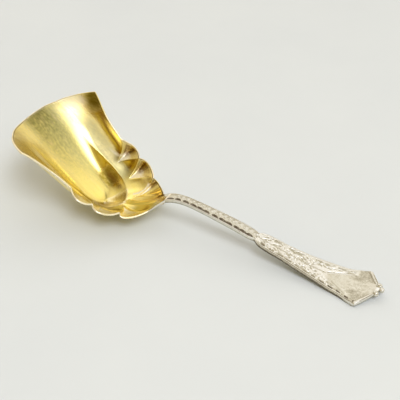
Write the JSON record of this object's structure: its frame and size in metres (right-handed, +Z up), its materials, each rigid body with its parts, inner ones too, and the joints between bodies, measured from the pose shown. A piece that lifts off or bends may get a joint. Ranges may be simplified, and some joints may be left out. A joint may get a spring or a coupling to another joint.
{
  "type": "cracker scoop",
  "caption": "Serving scoop: tilted gilt trough bowl with fluted shell lobes at its heel, soldered to an arched silver stem that widens to a shield-shaped handle end.",
  "frame": {"origin": "on the table plane, under the middle of the scoop's bounding box as it lies at rest", "axes": "+X along the handle to its tip, -X to the mouth of the bowl, +Y to the left seen from the bowl along the handle, +Z up from the table"},
  "size_m": [0.2269, 0.075, 0.0499],
  "materials": {
    "gilt": "polished",
    "silver": "satin",
    "silver_trim": "polished"
  },
  "bodies": {
    "root": {"bowl": "gilt", "handle": "silver", "end_roll_left": "silver_trim", "end_roll_right": "silver_trim", "volute_left": "silver_trim", "volute_right": "silver_trim", "tip_bead": "silver_trim"}
  },
  "joints": []
}
